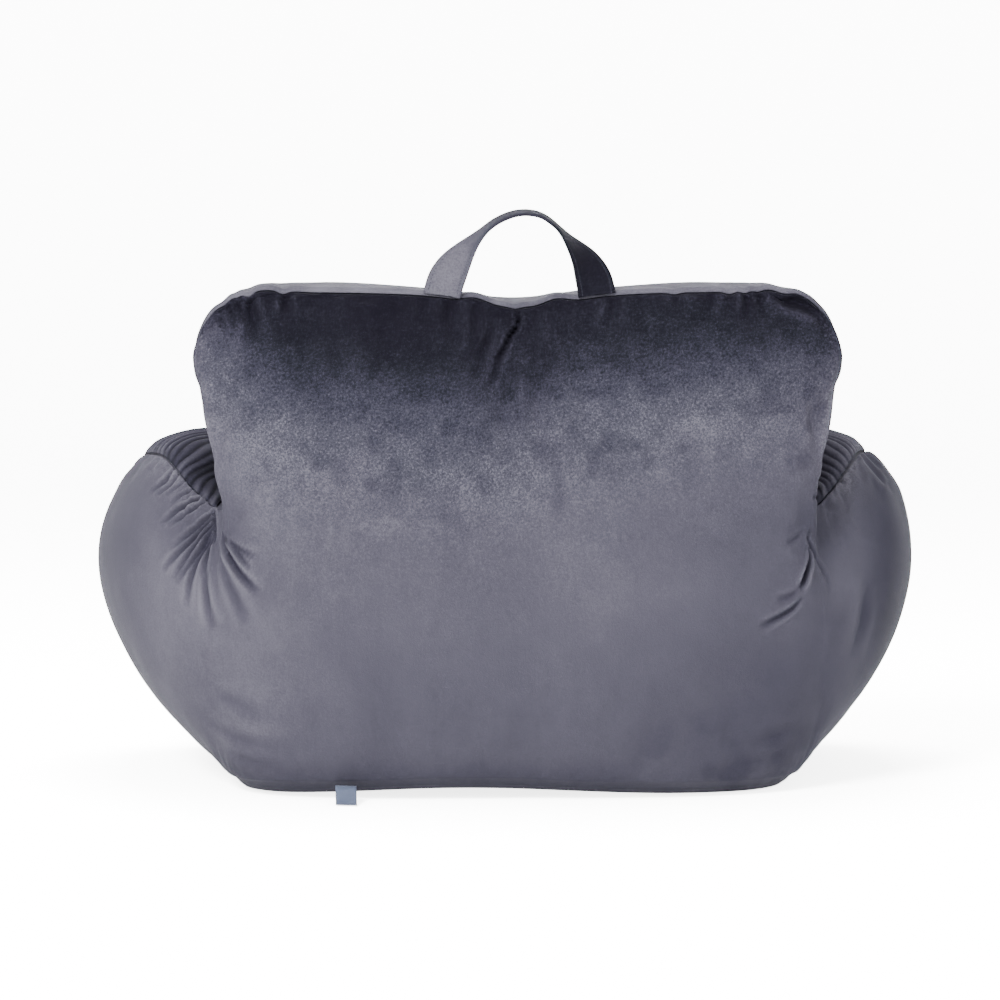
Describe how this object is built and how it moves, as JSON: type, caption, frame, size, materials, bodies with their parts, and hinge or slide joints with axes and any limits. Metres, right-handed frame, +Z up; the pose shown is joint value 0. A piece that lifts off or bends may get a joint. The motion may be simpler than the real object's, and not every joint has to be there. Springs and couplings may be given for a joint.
{
  "type": "back cushion with arms",
  "caption": "Plump velvet back cushion that stands on its base, with two forward arms, gathered gussets over the arms, a strap handle on top and a blank tab at the base seam.",
  "frame": {"origin": "On the floor, under the middle of the whole outline.", "axes": "+Z is up. +Y is the way the cushion faces and its arms point. +X is to the right of someone behind it, along its width."},
  "size_m": [0.8204, 0.458, 0.5605],
  "materials": {
    "velvet": "short pile velvet, dark slate grey with a violet cast, lighter and darker as the pile lies",
    "gathered_velvet": "the same velvet, gathered across the arms' gussets",
    "satin": "smooth satin ribbon, pale blue grey"
  },
  "bodies": {
    "root": {"cushion": "velvet", "top_gusset": "velvet", "arm_gusset_left": "gathered_velvet", "arm_gusset_right": "gathered_velvet", "handle": "velvet", "tab": "satin"}
  },
  "joints": []
}
